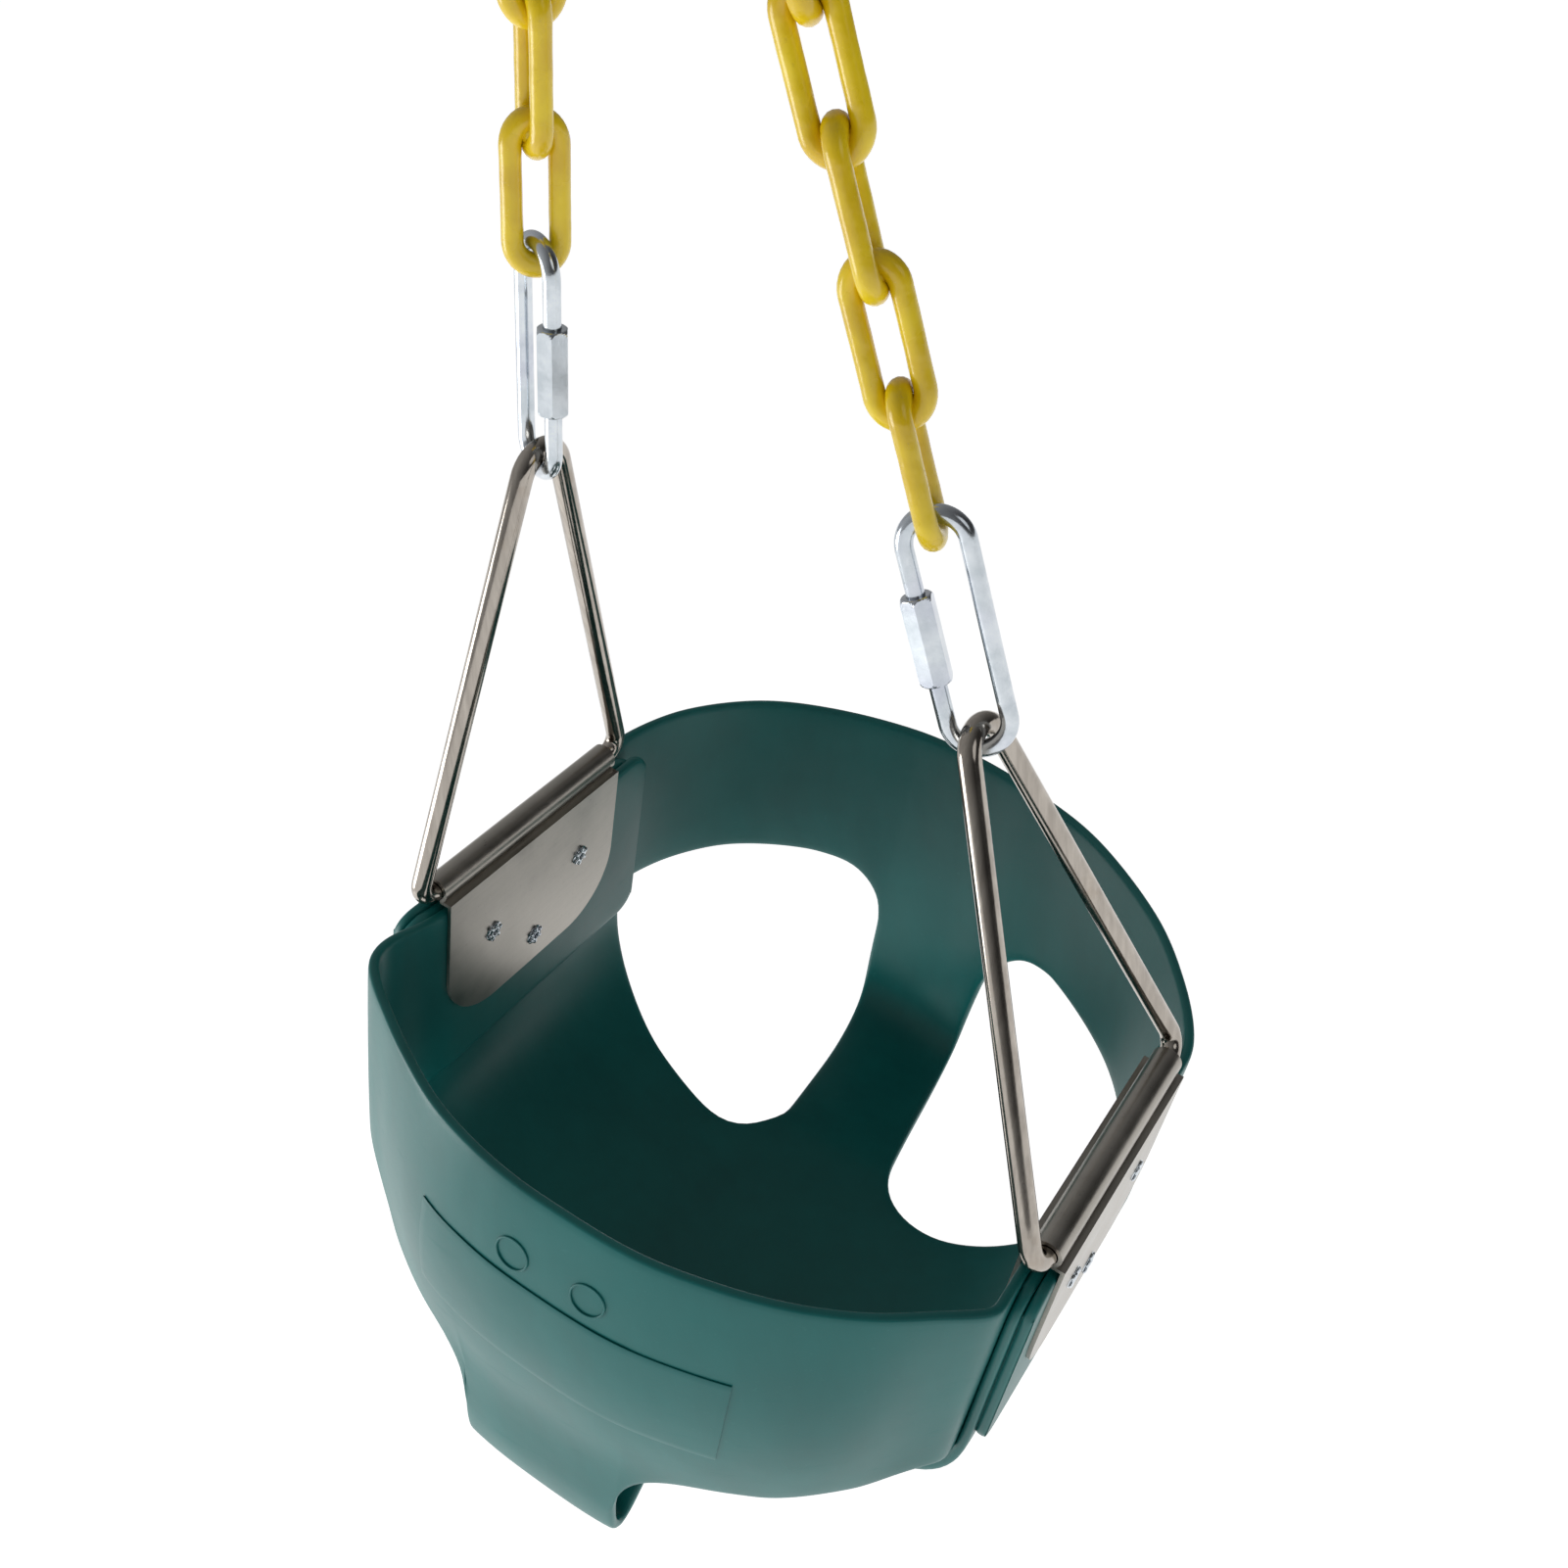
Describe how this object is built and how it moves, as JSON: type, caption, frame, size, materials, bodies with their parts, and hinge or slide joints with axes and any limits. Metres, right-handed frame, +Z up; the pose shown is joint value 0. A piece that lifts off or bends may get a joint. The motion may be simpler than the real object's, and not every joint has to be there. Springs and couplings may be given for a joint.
{
  "type": "toddler bucket swing seat",
  "caption": "Moulded full-bucket toddler swing seat with riveted hinge plates, wire triangle hangers, quick links and coated chains.",
  "frame": {"origin": "on the line through the two hook seats inside the upper quick links, straight above the middle between the hinge barrels", "axes": "+Z up, +Y the way the child faces, +X to the child's right; the seat hangs tilted with its +X side lower because that chain is two links longer"},
  "size_m": [0.2993, 0.3184, 0.6616],
  "materials": {
    "moulded_sheet": "satin",
    "plate_steel": "satin",
    "rivet_steel": "satin",
    "hanger_steel": "polished",
    "zinc_steel": "bright zinc",
    "chain_coating": "gloss"
  },
  "bodies": {
    "top_quick_links": {"left_top_quick_link": "zinc_steel", "right_top_quick_link": "zinc_steel"},
    "left_top_nut": {"left_top_sleeve": "zinc_steel"},
    "right_top_nut": {"right_top_sleeve": "zinc_steel"},
    "chains": {"left_chain_link_1": "chain_coating", "left_chain_link_2": "chain_coating", "left_chain_link_3": "chain_coating", "right_chain_link_1": "chain_coating", "right_chain_link_2": "chain_coating", "right_chain_link_3": "chain_coating", "right_chain_link_4": "chain_coating", "right_chain_link_5": "chain_coating"},
    "quick_links": {"left_quick_link": "zinc_steel", "right_quick_link": "zinc_steel"},
    "left_nut": {"left_sleeve": "zinc_steel"},
    "right_nut": {"right_sleeve": "zinc_steel"},
    "left_hanger": {"left_hanger": "hanger_steel"},
    "right_hanger": {"right_hanger": "hanger_steel"},
    "bucket": {"bucket_seat": "moulded_sheet", "left_hinge_plate": "plate_steel", "right_hinge_plate": "plate_steel", "left_rivets": "rivet_steel", "right_rivets": "rivet_steel"}
  },
  "joints": [
    {"name": "swing", "type": "hinge", "parent": "top_quick_links", "child": "chains", "pos_m": [0, 0, -0.07551], "axis": [1, 0, 0], "range_deg": [-20, 20]},
    {"name": "quick_link_swing", "type": "hinge", "parent": "chains", "child": "quick_links", "pos_m": [-0.06815, 0, -0.17867], "axis": [0.88, 0, -0.4749], "range_deg": [-8, 12]},
    {"name": "sway", "type": "hinge", "parent": "quick_links", "child": "left_hanger", "pos_m": [-0.08174, 0, -0.2496], "axis": [0, 1, 0], "range_deg": [-4, 4]},
    {"name": "right_hanger_turn", "type": "hinge", "parent": "quick_links", "child": "right_hanger", "pos_m": [0.08174, 0, -0.32315], "axis": [0, 1, 0], "range_deg": [-4.71, 4.71]},
    {"name": "bucket_turn", "type": "hinge", "parent": "left_hanger", "child": "bucket", "pos_m": [-0.12729, 0, -0.41387], "axis": [0, 1, 0], "range_deg": [-2.45, 2.45]},
    {"name": "left_sleeve_slide", "type": "slide", "parent": "quick_links", "child": "left_nut", "axis": [0.1959, 0, 0.9806], "range_m": [0, 0.013]},
    {"name": "right_sleeve_slide", "type": "slide", "parent": "quick_links", "child": "right_nut", "axis": [-0.1959, 0, 0.9806], "range_m": [0, 0.013]},
    {"name": "left_top_sleeve_slide", "type": "slide", "parent": "top_quick_links", "child": "left_top_nut", "axis": [0.1959, 0, 0.9806], "range_m": [0, 0.013]},
    {"name": "right_top_sleeve_slide", "type": "slide", "parent": "top_quick_links", "child": "right_top_nut", "axis": [-0.1959, 0, 0.9806], "range_m": [0, 0.013]}
  ],
  "couplings": [
    {"joint": "right_hanger_turn", "follows": "sway", "ratio": 1.1742},
    {"joint": "bucket_turn", "follows": "sway", "ratio": -0.61094}
  ]
}
